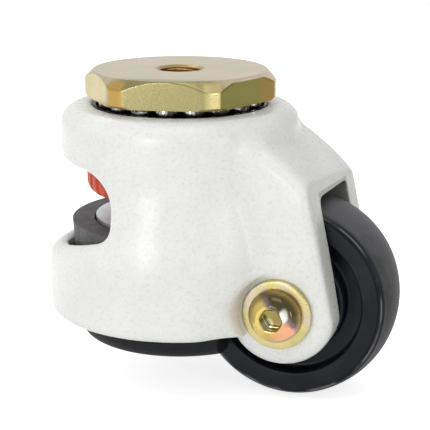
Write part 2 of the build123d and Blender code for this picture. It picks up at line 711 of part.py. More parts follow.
with BuildPart() as axle_nut:
    hexagon_height = nut_height - nut_collar_height
    with BuildSketch(side_plane.offset(-clamp_y)):
        RegularPolygon(nut_size / 2, 6, major_radius=False)
    extrude(amount=-hexagon_height)
    with BuildSketch(side_plane.offset(-clamp_y - hexagon_height)):
        Circle(nut_collar_diameter / 2)
    extrude(amount=-nut_collar_height)
    with BuildSketch(side_plane.offset(-clamp_y)):
        Circle(bearing_bore_radius)
    extrude(amount=-nut_height, mode=Mode.SUBTRACT)
save(axle_nut.part, "axle_nut")
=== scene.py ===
"""Dresses the levelling castor: finely turned head, dial, foot screw, wheel and fasteners, a
softened casting, and finishes for textured paint, yellow chromate, grease, nylon and rubber.
Shapes are worked out in millimetres and built in metres, in the CAD frame."""
from math import cos, pi, radians, sin

import bmesh
import bpy
import numpy as np
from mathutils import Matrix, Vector


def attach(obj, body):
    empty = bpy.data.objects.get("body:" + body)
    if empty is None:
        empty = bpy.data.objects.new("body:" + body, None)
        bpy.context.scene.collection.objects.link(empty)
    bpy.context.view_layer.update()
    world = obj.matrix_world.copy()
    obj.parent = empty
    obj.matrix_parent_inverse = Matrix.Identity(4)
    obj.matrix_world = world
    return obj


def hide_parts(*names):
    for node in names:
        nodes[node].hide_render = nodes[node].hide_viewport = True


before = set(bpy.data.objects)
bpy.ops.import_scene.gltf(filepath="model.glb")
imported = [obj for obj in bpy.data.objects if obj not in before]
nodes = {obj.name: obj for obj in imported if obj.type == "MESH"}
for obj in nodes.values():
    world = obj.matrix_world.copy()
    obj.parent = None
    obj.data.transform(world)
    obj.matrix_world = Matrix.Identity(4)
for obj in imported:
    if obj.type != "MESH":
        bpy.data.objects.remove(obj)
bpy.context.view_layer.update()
MM = 0.001
TURN = 2 * pi

# ---------------------------------------------------------------- places and sizes, millimetres
AXLE_X, AXLE_Z = 31.0, -54.2
FLOOR_Z, FLOOR_HALF = -79.2, 900.0
HEAD_BOTTOM, BOSS_END = -6.9, -25.6
HEAD_WIDTH, HEAD_CORNERS, HEAD_TURN = 43.0, 23.8, radians(39.5)
DIAL_BOTTOM, DIAL_WEB_TOP = -30.2, -26.6
PLATE_BOTTOM, PLATE_TOP = -39.0, -36.5
LEG_OUTSIDE, WASHER = 18.6, 1.6
BOLT_FACE, NUT_FACE = -LEG_OUTSIDE - WASHER, LEG_OUTSIDE + WASHER
WELL_RADIUS, WELL_HALF = 29.3, 10.9


# ---------------------------------------------------------------- shapes
def outline(corners, spacing=1.0, steps=5):
    """A (radius, height) line whose corners are arcs tangent to both runs.

    Each corner is (radius, height, rounding). An arc's middle lies on the line that halves the
    corner, at rounding / sin(half the angle); runs are then cut into equal steps no longer than
    the spacing."""
    points = [np.array(corners[0][:2], float)]
    for before, (r, h, rounding), after in zip(corners, corners[1:], corners[2:]):
        here = np.array((r, h), float)
        back, on = np.array(before[:2]) - here, np.array(after[:2]) - here
        room = 0.49 * min(np.linalg.norm(back), np.linalg.norm(on))
        back, on = back / np.linalg.norm(back), on / np.linalg.norm(on)
        half = 0.5 * np.arccos(np.clip(back @ on, -1, 1))
        if rounding == 0 or half > 0.49 * pi:
            points.append(here)
            continue
        run = min(rounding / np.tan(half), room)
        rounding = run * np.tan(half)
        middle = here + (back + on) / np.linalg.norm(back + on) * rounding / np.sin(half)
        first, last = here + back * run - middle, here + on * run - middle
        sweep = pi - 2 * half
        for t in np.linspace(0, 1, steps + 1):
            points.append(middle + (first * np.sin((1 - t) * sweep) + last * np.sin(t * sweep))
                          / np.sin(sweep))
    points.append(np.array(corners[-1][:2], float))
    line = [points[0]]
    for start, end in zip(points, points[1:]):
        count = max(1, int(np.ceil(np.linalg.norm(end - start) / spacing)))
        line += [start + (end - start) * k / count for k in range(1, count + 1)]
    return np.array(line)


def hexagon(angle, across_flats, turn=0.0):
    """Distance from the middle of a hexagon to its edge: half its width over cos of the angle
    from the nearest flat."""
    sixth = TURN / 6
    return across_flats / 2 / np.cos((angle - turn + sixth / 2) % sixth - sixth / 2)


def softer_least(a, b, blend):
    """The smaller of two lengths, with a parabola across the crossing so that the edge is round."""
    share = np.clip(0.5 + 0.5 * (b - a) / blend, 0, 1)
    return b * (1 - share) + a * share - blend * share * (1 - share)


def helix(angle, height, pitch):
    """0 in the root and 1 on the crest of a right-hand thread: a flattened triangle wave of
    height / pitch less the turned share of a circle."""
    wave = np.abs((height / pitch - angle / TURN) % 1 - 0.5) * 2
    return np.clip(1.35 * wave - 0.15, 0, 1)


def rounded_off(outward, radius):
    """How far a face drops towards an edge that a quarter circle rounds: 0 until the distance
    past the edge, outward, is -radius, and -radius at the edge."""
    return np.sqrt(radius ** 2 - np.clip(outward + radius, 0, radius) ** 2) - radius


def finished(name, body, mesh, finish, stands_for):
    """Close the seams and poles, turn the faces outwards and hand the piece to its body."""
    made = bmesh.new()
    made.from_mesh(mesh)
    bmesh.ops.remove_doubles(made, verts=made.verts, dist=2e-7)
    bmesh.ops.recalc_face_normals(made, faces=made.faces)
    made.to_mesh(mesh)
    made.free()
    mesh.polygons.foreach_set("use_smooth", np.ones(len(mesh.polygons), bool))
    mesh.materials.append(finish)
    piece = bpy.data.objects.new(name, mesh)
    bpy.context.scene.collection.objects.link(piece)
    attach(piece, body)
    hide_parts(*stands_for)


def quads_of(rows, columns, ring=True, loop=False):
    """Corner numbers of the faces between rows x columns points; ring closes the columns on
    themselves and loop closes the rows."""
    index = np.arange(rows * columns).reshape(rows, columns)
    if ring:
        index = np.hstack([index, index[:, :1]])
    if loop:
        index = np.vstack([index, index[:1]])
    quads = np.stack([index[:-1, :-1], index[:-1, 1:], index[1:, 1:], index[1:, :-1]], -1)
    return quads.reshape(-1, 4)


def mesh_of(name, points, quads):
    """A mesh from points in millimetres and the corner numbers of its faces."""
    mesh = bpy.data.meshes.new(name)
    mesh.from_pydata((points.reshape(-1, 3) * MM).tolist(), [], quads.tolist())
    return mesh


def turned(name, body, line, finish, stands_for, steps, shape=None, loop=False,
           upright=True):
    """A turned piece: each (radius, height) of the line goes once round the axis. shape(radius,
    angle, height) returns the radius where the piece isn't round. Upright pieces turn round the
    swivel axis, the others round the axle with height along +Y."""
    angle = np.linspace(0, TURN, steps, endpoint=False)[None, :]
    radius, height = line[:, :1], line[:, 1:2]
    around = shape(radius, angle, height) if shape else radius + 0 * angle
    height = height + 0 * angle
    if upright:
        points = np.stack([around * np.cos(angle), around * np.sin(angle), height], -1)
    else:
        points = np.stack([AXLE_X + around * np.sin(angle), height,
                           AXLE_Z + around * np.cos(angle)], -1)
    mesh = mesh_of(name, points, quads_of(len(line), steps, loop=loop))
    finished(name, body, mesh, finish, stands_for)


def ball_row(name, body, count, circle, level, diameter, stands_for):
    """Balls equally spaced on a circle round the swivel axis; each is a grid of 13 latitudes and
    24 longitudes."""
    turn = np.arange(count) * TURN / count
    middles = np.stack([circle / 2 * np.cos(turn), circle / 2 * np.sin(turn), level + 0 * turn], -1)
    rows, columns = 13, 24
    down = np.linspace(0, pi, rows)[:, None]
    around = np.linspace(0, TURN, columns, endpoint=False)[None, :]
    ball = diameter / 2 * np.stack([np.sin(down) * np.cos(around), np.sin(down) * np.sin(around),
                                    np.cos(down) + 0 * around], -1)
    points = ball.reshape(1, -1, 3) + middles[:, None]
    first = rows * columns * np.arange(count)[:, None, None]
    quads = (quads_of(rows, columns) + first).reshape(-1, 4)
    finished(name, body, mesh_of(name, points, quads), polished,
             stands_for)


# ---------------------------------------------------------------- finishes
class Signal:
    """A node socket that Python's operators act on; each expression adds its Math nodes."""

    def __init__(self, finish, socket):
        self.finish, self.socket = finish, socket

    def _maths(self, operation, first, second):
        return self.finish.node("ShaderNodeMath", {"operation": operation},
                                {0: first, 1: second})

    def __add__(self, other):
        return self._maths("ADD", self, other)

    def __radd__(self, other):
        return self._maths("ADD", other, self)

    def __sub__(self, other):
        return self._maths("SUBTRACT", self, other)

    def __rsub__(self, other):
        return self._maths("SUBTRACT", other, self)

    def __mul__(self, other):
        return self._maths("MULTIPLY", self, other)

    def __rmul__(self, other):
        return self._maths("MULTIPLY", other, self)

    def __pow__(self, other):
        return self._maths("POWER", self, other)

    def __abs__(self):
        return self._maths("ABSOLUTE", self, 0)


class Finish:
    """One procedural finish, with patterns on Object coordinates; the owner of its nodes is a new
    material, or the world where that is given."""

    def __init__(self, name, owner=None):
        self.owner = owner or bpy.data.materials.new(name)
        self.owner.use_nodes = True
        self.tree = self.owner.node_tree
        self.tree.nodes.clear()
        self.place = None if owner else self.node("ShaderNodeTexCoord", output="Object")

    def node(self, kind, settings=None, inputs=None, output=0):
        """Add a node: its settings first, then values or links for its sockets. A tuple of
        outputs comes back as a list."""
        made = self.tree.nodes.new(kind)
        for key, value in (settings or {}).items():
            if key == "stops":
                ramp = made.color_ramp
                while len(ramp.elements) < len(value):
                    ramp.elements.new(0.5)
                for element, (position, colour) in zip(ramp.elements, value):
                    element.position, element.color = position, (*colour, 1)
            else:
                setattr(made, key, value)
        for key, value in (inputs or {}).items():
            if isinstance(value, Signal):
                self.tree.links.new(value.socket, made.inputs[key])
            else:
                made.inputs[key].default_value = value
        if isinstance(output, tuple):
            return [Signal(self, made.outputs[name]) for name in output]
        return Signal(self, made.outputs[output])

    def position(self, middle=(0, 0, 0)):
        """x, y and z in millimetres from a middle."""
        away = self.node("ShaderNodeVectorMath", {"operation": "SUBTRACT"},
                         {0: self.place, 1: Vector(middle) * MM})
        return [axis * (1 / MM) for axis in
                self.node("ShaderNodeSeparateXYZ", None, {0: away}, output=("X", "Y", "Z"))]

    def noise(self, size, detail=2.0, roughness=0.5):
        """Noise whose features are about this many millimetres across."""
        return self.node("ShaderNodeTexNoise", None,
                         {"Vector": self.place, "Scale": 1 / (size * MM), "Detail": detail,
                          "Roughness": roughness})

    def step(self, value, low, high, to_low=0.0, to_high=1.0):
        """A smooth step from to_low to to_high as the value goes from low to high."""
        return self.node("ShaderNodeMapRange", {"interpolation_type": "SMOOTHSTEP"},
                         {"Value": value, "From Min": low, "From Max": high, "To Min": to_low,
                          "To Max": to_high})

    def blend(self, share, first, second):
        """One colour towards another."""
        first, second = [(*c, 1) if isinstance(c, tuple) else c for c in (first, second)]
        return self.node("ShaderNodeMix", {"data_type": "RGBA"},
                         {0: share, 6: first, 7: second}, output=2)

    def ramp(self, value, stops):
        """Colours along a value, from (value, colour) stops; they hold beyond the outer stops."""
        return self.node("ShaderNodeValToRGB", {"stops": stops}, {0: value})

    def shine(self, **inputs):
        """The finished material, a Principled shader; inputs are sockets with _ for a space."""
        values = {key.replace("_", " "): value for key, value in inputs.items()}
        return self.shown(self.node("ShaderNodeBsdfPrincipled", None, values, output="BSDF"))

    def shown(self, shader, kind="ShaderNodeOutputMaterial"):
        """Hand a shader to the output and give back the material or world."""
        made = self.tree.nodes.new(kind)
        self.tree.links.new(shader.socket, made.inputs["Surface"])
        return self.owner

    def seen(self):
        """1 for rays that show a surface as it is: to the camera, in a mirror or through glass."""
        ways = [self.node("ShaderNodeLightPath", output=way)
                for way in ("Is Camera Ray", "Is Glossy Ray", "Is Transmission Ray")]
        return self.node("ShaderNodeMath", {"operation": "ADD", "use_clamp": True},
                         {0: ways[0] + ways[1], 1: ways[2]})

    def relief(self, height, depth):
        """A bump of this many millimetres from a height of 0 to 1."""
        return self.node("ShaderNodeBump", None,
                         {"Height": height, "Strength": 1.0, "Distance": depth * MM},
                         output="Normal")


def from_middle(a, b):
    """Distance from the middle of a plane, the root of the sum of squares."""
    return (a * a + b * b) ** 0.5


def along(turn, x, y):
    """Distance from the middle in a direction turned this far from +x towards +y."""
    return x * cos(turn) + y * sin(turn)


def textured_paint():
    """Off-white gloss paint with an orange-peel relief and fine grey speckle, with painted shade
    in the wheel well and on the surfaces that face +x."""
    f = Finish("textured_paint")
    x, y, z = f.position((AXLE_X, 0, AXLE_Z))
    peel = f.noise(1.3, 3.0, 0.55)
    fine = f.noise(0.7, 3.0, 0.6)
    base = f.blend(f.step(f.noise(11.0), 0.3, 0.7), (0.785, 0.795, 0.77), (0.83, 0.84, 0.82))
    colour = f.blend(f.step(fine, 0.50, 0.68) * 0.4, base, (0.62, 0.63, 0.59))
    # Painted shade: the inside of the wheel well is darkened to a near-black olive grey.
    painted_well_shade = (f.step(from_middle(x, z), WELL_RADIUS, WELL_RADIUS - 0.5)
            * f.step(abs(y), WELL_HALF, WELL_HALF - 0.3))
    colour = f.blend(painted_well_shade * 0.85, colour, (0.09, 0.095, 0.075))
    # Painted shade: surfaces facing +x, beyond x = 2 to 5 mm, are darkened towards grey-beige.
    facing = f.node("ShaderNodeSeparateXYZ", None,
                    {0: f.node("ShaderNodeTexCoord", output="Normal")})
    front = f.step(facing, 0.8, 1.0) * f.step(x, 2, 5)
    colour = f.blend(front * 0.5, colour, (0.50, 0.50, 0.43))
    return f.shine(Base_Color=colour, Roughness=f.step(peel, 0.3, 0.7, 0.34, 0.26),
                   Normal=f.relief(peel * 0.7 + fine * 0.3, 0.07), IOR=1.5)


# Colours that the film takes where it is thinner or thicker; dark, ember and deep also serve as
# painted shade, and the near-black one after violet as a painted dark reflection.
FILM = {"gold": (0.52, 0.44, 0.20), "olive": (0.42, 0.39, 0.15), "pale": (0.46, 0.415, 0.26),
        "rose": (0.54, 0.42, 0.33), "dark": (0.17, 0.155, 0.04), "ember": (0.23, 0.145, 0.033),
        "deep": (0.245, 0.215, 0.10), "violet": (0.18, 0.12, 0.125), "painted_dark_reflection": (0.065, 0.052, 0.016),
        "yellow": (0.60, 0.45, 0.13), "orange": (0.48, 0.30, 0.075), "salmon": (0.72, 0.35, 0.20),
        "bronze": (0.37, 0.24, 0.085)}


def chromate_surface(f, colour, rough=(0.24, 0.38), **coat):
    """Zinc plate under an iridescent yellow film, faintly grained."""
    grain = f.noise(0.25)
    return f.shine(Base_Color=colour, Metallic=0.92, Roughness=f.step(grain, 0.3, 0.7, *rough),
                   Normal=f.relief(grain, 0.012), **coat)


def head_chromate():
    """The head's film: pale and rosy on top, olive to rosy on the sides, with painted shade towards
    -y, gold and orange corners, painted shade on one flat, dark to ember across it, and brown in
    the hole."""
    f = Finish("head_chromate")
    x, y, z = f.position()
    drift = f.step(f.noise(14.0, 3.0, 0.6), 0.32, 0.68)
    top = f.ramp(drift, [(0.5, FILM["pale"]), (1.0, FILM["rose"])])
    side = f.ramp(drift, [(0.0, FILM["olive"]), (0.5, FILM["gold"]), (1.0, FILM["rose"])])
    colour = f.blend(f.step(z, -0.5, -1.6), top, side)
    # Painted shade: the flats and chamfer towards -y are darkened to a deep brown-olive.
    painted_front_shade = f.step(along(HEAD_TURN - radians(120), x, y), 16.5, 20.5)
    colour = f.blend(painted_front_shade, colour, FILM["deep"])
    for behind, tint in ((90, "gold"), (150, "orange")):
        turn = HEAD_TURN - radians(behind)
        beside = abs(along(turn + TURN / 4, x, y))
        corner = f.step(along(turn, x, y), 21.5, 22.5) * f.step(beside, 2.8, 1.6)
        colour = f.blend(corner * 0.8, colour, FILM[tint])
    # Painted shade: one flat is darkened, from dark olive to ember across it.
    turn = HEAD_TURN - radians(60)
    painted_flat_shade = f.blend(f.step(along(turn + TURN / 4, x, y), 2, 8), FILM["dark"], FILM["ember"])
    flat = f.step(along(turn, x, y), HEAD_WIDTH / 2 - 0.25, HEAD_WIDTH / 2 - 0.1)
    colour = f.blend(flat * f.step(z, -0.6, -1.0), colour, painted_flat_shade)
    hole = f.step(from_middle(x, y), 6.4, 5.9)
    return chromate_surface(f, f.blend(hole, colour, FILM["bronze"]))


def bolt_chromate():
    """The bolt's film: yellow at -x, salmon low at +x, through violet to a nearly black painted
    dark reflection high at +x, with painted shade in the socket and painted highlights in it and on
    the dome."""
    f = Finish("bolt_chromate")
    x, _, z = f.position((AXLE_X, 0, AXLE_Z))
    wander = (f.noise(5.0, 3.0, 0.6) - 0.5) * 5
    colour = f.ramp(f.step(x * 0.8 - z * 0.3 + wander, -4.5, 4.5),
                    [(0.35, FILM["yellow"]), (0.65, FILM["orange"]), (1.0, FILM["salmon"])])
    rise = x * 0.6 + z * 0.8 + wander
    violet_side = f.step(rise, 1.0, 2.8)
    colour = f.blend(violet_side, colour, FILM["violet"])
    # Painted dark reflection: the upper +x part of the dome is nearly black.
    colour = f.blend(f.step(rise, 2.6, 4.2), colour, FILM["painted_dark_reflection"])
    radius = from_middle(x, z)
    colour = f.blend(violet_side * f.step(radius, 5.6, 6.8) * 0.8, colour, FILM["orange"])
    # Painted shade: the socket is darkened.
    colour = f.blend(f.step(radius, 3.0, 2.6) * 0.8, colour, FILM["dark"])
    # Painted highlight: a pale spot on the socket's floor.
    spot = f.step(from_middle(x + 1.2, z + 1.4), 1.5, 0.8)
    colour = f.blend(spot, colour, FILM["pale"])
    # Painted highlight: a bright spot on the dome.
    dome_highlight = f.step(from_middle(x - 3.1, (z - 1.4) * 0.6), 1.3, 0.5)
    colour = f.blend(dome_highlight, colour, (0.80, 0.79, 0.70))
    return chromate_surface(f, colour, (0.09, 0.16), Coat_Weight=0.3, Coat_Roughness=0.05)


def washer_chromate():
    """The washers' and nut's film, olive and gold with pale and rose patches."""
    f = Finish("washer_chromate")
    drift = f.step(f.noise(6.0, 3.0, 0.6), 0.32, 0.68)
    return chromate_surface(f, f.ramp(drift, [(0.0, FILM["olive"]), (0.5, FILM["gold"]),
                                              (0.8, FILM["pale"]), (1.0, FILM["rose"])]))


def greasy_steel():
    """Dark oiled steel of the races."""
    f = Finish("greasy_steel")
    smear = f.noise(2.5, 3.0)
    colour = f.blend(f.step(smear, 0.35, 0.65), (0.012, 0.010, 0.009), (0.035, 0.03, 0.026))
    return f.shine(Base_Color=colour, Metallic=0.6, Roughness=f.step(smear, 0.3, 0.7, 0.22, 0.45))


def ball_steel():
    """Polished bearing balls with patches of dark grease."""
    f = Finish("ball_steel")
    smear = f.step(f.noise(1.8, 2.0), 0.36, 0.52)
    colour = f.blend(smear, (0.62, 0.62, 0.63), (0.05, 0.042, 0.036))
    return f.shine(Base_Color=colour, Metallic=1.0, Roughness=smear * 0.25 + 0.08)


def bright_zinc():
    """Clear-plated steel of the foot plate, screw and hidden fittings."""
    f = Finish("bright_zinc")
    grain = f.noise(0.6, 3.0)
    colour = f.blend(f.step(f.noise(5.0), 0.3, 0.7), (0.50, 0.51, 0.53), (0.64, 0.65, 0.66))
    return f.shine(Base_Color=colour, Metallic=0.85, Roughness=f.step(grain, 0.3, 0.7, 0.28, 0.42),
                   Normal=f.relief(grain, 0.02))


def red_nylon():
    """Moulded orange-red plastic of the dial."""
    f = Finish("red_nylon")
    colour = f.blend(f.step(f.noise(6.0), 0.3, 0.7), (0.52, 0.055, 0.022), (0.68, 0.095, 0.036))
    grain = f.noise(0.4)
    return f.shine(Base_Color=colour, Roughness=f.step(grain, 0.3, 0.7, 0.38, 0.50),
                   Normal=f.relief(grain, 0.03), IOR=1.5, Specular_IOR_Level=0.3)


def black_rubber():
    """Moulded rubber of the foot, with a dusty bloom that thickens towards its top."""
    f = Finish("black_rubber")
    height = f.position()[2]
    dust = f.step(height, -46, -38.5) * (f.step(f.noise(5.0, 4.0, 0.65), 0.3, 0.7) * 0.4 + 0.5)
    grain = f.noise(0.3)
    colour = f.blend(dust, (0.005, 0.0055, 0.0065), (0.17, 0.171, 0.176))
    return f.shine(Base_Color=colour, Roughness=f.step(grain, 0.3, 0.7, 0.50, 0.66),
                   Normal=f.relief(grain, 0.03), Specular_IOR_Level=0.2)


def black_nylon():
    """Moulded nylon of the wheel: blue-black and satin on its sides, with painted light, grey and
    broken by noise, on the upper part of the tread, and a painted highlight on the lip between
    them."""
    f = Finish("black_nylon")
    x, _, z = f.position((AXLE_X, 0, AXLE_Z))
    radius = from_middle(x, z)
    tread = f.step(radius, 23.3, 24.1)
    sides = f.blend(f.step(f.noise(7.0, 3.0), 0.3, 0.7), (0.005, 0.006, 0.0085),
                    (0.011, 0.013, 0.017))
    # Painted light: the tread turns grey towards its top, broken up by noise.
    painted_top_light = f.blend(f.step(z + f.noise(3.0, 4.0, 0.6) * 14, 4, 30), (0.006, 0.006, 0.007),
                      (0.092, 0.092, 0.098))
    colour = f.blend(tread, sides, painted_top_light)
    # Painted highlight: a grey line along the lip, broken up by noise.
    lip_highlight = f.step(abs(radius - 22.95), 0.30, 0.12) * f.step(f.noise(8.0), 0.42, 0.58)
    colour = f.blend(lip_highlight * 0.7, colour, (0.20, 0.20, 0.21))
    return f.shine(Base_Color=colour, Roughness=tread * 0.22 + 0.30,
                   Normal=f.relief(f.noise(0.3), 0.02), IOR=1.5, Specular_IOR_Level=0.16)


paint = textured_paint()
head_plate = head_chromate()
bolt_plate = bolt_chromate()
washer_plate = washer_chromate()
grease = greasy_steel()
polished = ball_steel()
zinc = bright_zinc()
dial_red = red_nylon()
rubber = black_rubber()
nylon = black_nylon()

# ---------------------------------------------------------------- mounting head
THREAD_ROOT, TAP_RADIUS, THREAD_PITCH = 6.0, 5.1, 1.75
HOLE_END, BOSS_RADIUS, CHAMFER = -9.0, 13.3, 2.4
NUT_SEAT, NUT_SEAT_TOP, JOURNAL = 10.7, -19.0, 9.15


def head_shape(radius, angle, height):
    """The turned blank cut by a hexagon, and the mounting thread cut into its hole: inside the
    hole the wall swings between tap and thread radius along a helix."""
    flats = hexagon(angle, HEAD_WIDTH, HEAD_TURN)
    cut = softer_least(radius + 0 * angle, flats, 0.35)
    around = np.where(radius > 15, cut, radius + 0 * angle)
    threaded = (np.abs(radius - TAP_RADIUS) < 1e-6) & (height < -0.6) & (height > HOLE_END + 0.2)
    root = (THREAD_ROOT - TAP_RADIUS) * (1 - helix(angle, height, THREAD_PITCH))
    return np.where(threaded, TAP_RADIUS + root, around)


def groove(wall, floor, start, end):
    """Corners of a square groove for a snap ring, from a wall's radius to its floor's."""
    return [(wall, start, 0), (floor, start, 0), (floor, end, 0), (wall, end, 0)]


head_line = np.vstack([
    outline([(TAP_RADIUS, HOLE_END, 0), (TAP_RADIUS, -0.5, 0.1), (6.05, 0, 0.15),
             (HEAD_CORNERS - CHAMFER, 0, 0.5), (HEAD_CORNERS, -CHAMFER, 0.8),
             (HEAD_CORNERS, -6.3, 0.2), (HEAD_CORNERS - 0.6, HEAD_BOTTOM, 0.2),
             (BOSS_RADIUS, HEAD_BOTTOM, 0)], 0.22, 4),
    outline([(BOSS_RADIUS, HEAD_BOTTOM - 0.01, 0), *groove(BOSS_RADIUS, 12.5, -23.3, -24.5),
             (BOSS_RADIUS, BOSS_END, 0.4), (NUT_SEAT, BOSS_END, 0.2),
             *groove(NUT_SEAT, 11.6, -22.35, -21.15), (NUT_SEAT, NUT_SEAT_TOP, 0),
             (JOURNAL, NUT_SEAT_TOP, 0), (JOURNAL, HOLE_END, 0),
             (TAP_RADIUS + 0.01, HOLE_END, 0)], 3.0, 3)])
turned("mounting_head_turned", "head", head_line, head_plate, ["mounting_head"],
       steps=396, shape=head_shape, loop=True)

# ---------------------------------------------------------------- ball rows
ball_row("upper_ball_row_polished", "upper_ball_row", 18, 35.7, -7.7, 6.0, ["upper_balls"])
ball_row("lower_ball_row_polished", "lower_ball_row", 20, 34.2, -19.2, 5.0, ["lower_balls"])

# ---------------------------------------------------------------- casting
WINDOW_TOP, WINDOW_END, SILL_END, SILL_SLOPE = -22.2, -7.4, -37.4, radians(16.4)
TOP_ROUND, SILL_ROUND = 9.0, 5.0
RING_RADIUS, FLARE, FLARE_HEIGHT = 29.58, 3.4, 23.0
DIAL_CHAMBER, FOOT_CHAMBER, CHAMBER_STEP = 24.6, 28.3, -30.0
HOOD_X, HOOD_Z = 25.7, -13.9
FRONT_X, FRONT_Z = 39.4, -27.7
SPOT_EDGE, BRINK_RADIUS = 19.3, 28.5
VOXEL = 0.62


def window_web(made, side):
    """Closed strip that gives one end of the window its wide corners, 9 mm at the top and 5 mm at
    the sill. It runs round both corners, reaches 5 mm into the wall and thins to the window by a
    3 mm round; outside it follows the flare of the body, a cubic from ring to skirt radius, and
    inside the walls of the chambers."""
    turn = np.concatenate([np.radians(np.linspace(90, 0, 24)),
                           np.linspace(0, SILL_SLOPE - TURN / 4, 20)])[:, None]
    upper = (np.arange(len(turn)) < 24)[:, None]
    corner = np.where(upper, TOP_ROUND, SILL_ROUND)
    rise = SILL_ROUND * (1 - sin(SILL_SLOPE)) / cos(SILL_SLOPE)
    depth = np.linspace(0, 5, 26)
    x = WINDOW_END - corner + (corner + depth) * np.cos(turn)
    z = np.where(upper, WINDOW_TOP - TOP_ROUND, SILL_END + rise) + (corner + depth) * np.sin(turn)
    t = np.clip((WINDOW_TOP - z) / FLARE_HEIGHT, 0, 1)
    outside = RING_RADIUS + FLARE * t * t * (3 - 2 * t) + rounded_off(-depth, 3)
    inside = np.where(z > CHAMBER_STEP, DIAL_CHAMBER, FOOT_CHAMBER)
    outside = np.maximum(outside, inside + 0.1)
    outer, inner = [np.stack([x, side * np.sqrt(reach ** 2 - x * x), z], -1)
                    for reach in (outside, inside)]
    loops = np.concatenate([outer, inner[:, ::-1]], 1)
    rows = [[made.verts.new(point * MM) for point in row] for row in loops]
    for one, two in zip(rows, rows[1:]):
        for k in range(len(one)):
            made.faces.new((one[k - 1], one[k], two[k], two[k - 1]))
    made.faces.new(rows[0])
    made.faces.new(rows[-1][::-1])


def fettled(points):
    """Points of the casting, in millimetres, held below the hood's back and behind the fork's
    front. The back falls along a parabola and rounds off by a 4 mm circle towards the sides of the
    fork; the front leans, rounds off by a 2 mm circle and reaches further at the nut's side."""
    x, y, z = points.T
    outward = np.abs(y) - LEG_OUTSIDE
    fork = (x > 20) & (np.hypot(x, y) > RING_RADIUS + 0.04)
    run = x - HOOD_X
    back = HOOD_Z - 0.52 * run - 0.02 * run * run + rounded_off(outward, 4)
    z = np.where(fork, np.minimum(z, back), z)
    front = FRONT_X + 0.068 * y - 0.21 * (z - FRONT_Z) + rounded_off(outward, 2)
    x = np.where(fork & (z > AXLE_Z - 3), np.minimum(x, front), x)
    return np.stack([x, y, z], -1)


def voxel_skin(mesh):
    """The surface of a mesh again, as an even skin of small quads."""
    piece = bpy.data.objects.new(mesh.name, mesh)
    bpy.context.scene.collection.objects.link(piece)
    skin = piece.modifiers.new("skin", "REMESH")
    skin.mode, skin.voxel_size = "VOXEL", VOXEL * MM
    skin.use_smooth_shade = True
    graph = bpy.context.evaluated_depsgraph_get()
    made = bpy.data.meshes.new_from_object(piece.evaluated_get(graph))
    bpy.data.objects.remove(piece)
    return made


def relaxer(mesh):
    """A function that moves what each point of the mesh has, such as its place, an amount of the
    way to the mean of the neighbours along its edges, a number of times."""
    pairs = np.empty(len(mesh.edges) * 2, int)
    mesh.edges.foreach_get("vertices", pairs)
    one, two = pairs.reshape(-1, 2).T
    count = len(mesh.vertices)
    ends = np.bincount(one, minlength=count) + np.bincount(two, minlength=count)

    def relaxed(at, amount, times=1):
        for _ in range(times):
            mean = np.stack([np.bincount(one, column[two], count)
                             + np.bincount(two, column[one], count) for column in at.T], -1)
            at = at + amount * (mean / ends[:, None] - at)
        return at

    return relaxed


def softened_casting():
    """The casting with every edge slightly round: a voxel skin of the solid and its window webs.
    Where it is fettled it is relaxed until the cut is smooth, and then all of it is relaxed by
    moving each point to the mean of its neighbours a few times and back a little less each time.
    Where the skirt meets the washers' spot faces, and along the thin brink of the window's sill,
    it is relaxed more, without the way back."""
    mesh = nodes["housing"].data.copy()
    made = bmesh.new()
    made.from_mesh(mesh)
    bmesh.ops.remove_doubles(made, verts=made.verts, dist=1e-6)
    for side in (1, -1):
        window_web(made, side)
    bmesh.ops.recalc_face_normals(made, faces=made.faces)
    made.to_mesh(mesh)
    made.free()
    mesh.name = "housing_softened"
    mesh.materials.clear()
    solid = voxel_skin(mesh)
    relaxed = relaxer(solid)
    rough = np.empty(len(solid.vertices) * 3)
    solid.vertices.foreach_get("co", rough)
    rough = rough.reshape(-1, 3)
    points = fettled(rough / MM) * MM
    touched = (np.abs(points - rough).max(1) > 0.02 * MM).astype(float)[:, None]
    touched = relaxed(touched, 0.8, 4)
    points = relaxed(points, 0.5 * np.clip(touched * 2, 0, 1), 16)
    for _ in range(10):
        points = relaxed(relaxed(points, 0.5), -0.48)
    x, y, z = points.T / MM
    spot = np.exp(-((x - SPOT_EDGE) / 3.2) ** 2 - ((z - AXLE_Z - 3) / 9) ** 4)
    spot *= np.abs(y) > 13
    brink = np.exp(-((np.hypot(x, y) - BRINK_RADIUS) / 1.1) ** 4)
    brink *= (x < -5) & (z > -46) & (z < -34)
    points = relaxed(points, 0.5 * spot[:, None], 100)
    points = relaxed(points, 0.5 * brink[:, None], 30)
    solid.vertices.foreach_set("co", points.ravel())
    solid.update()
    finished("housing_softened", "fork", solid, paint, ["housing"])


softened_casting()

# ---------------------------------------------------------------- dial
DIAL_RADIUS, GRIPS, GRIP_ROOT, GRIP_DEPTH = 23.3, 36, 21.6, 0.95
POCKET = 15.0


def dial_shape(radius, angle, height):
    """The rim is scalloped: at each grip the radius drops by the upper half of a cosine, to the
    power 1.5. The pocket in the middle is a hexagon that the nut fills."""
    dip = np.clip(np.cos(angle * GRIPS), 0, 1) ** 1.5
    edge = np.clip((radius - GRIP_ROOT) / (DIAL_RADIUS - GRIP_ROOT), 0, 1)
    around = radius - GRIP_DEPTH * dip * edge
    pocket = np.clip(1 - (radius - POCKET / 2) / 1.2, 0, 1)
    return around + pocket * (hexagon(angle, POCKET, radians(30)) - POCKET / 2)


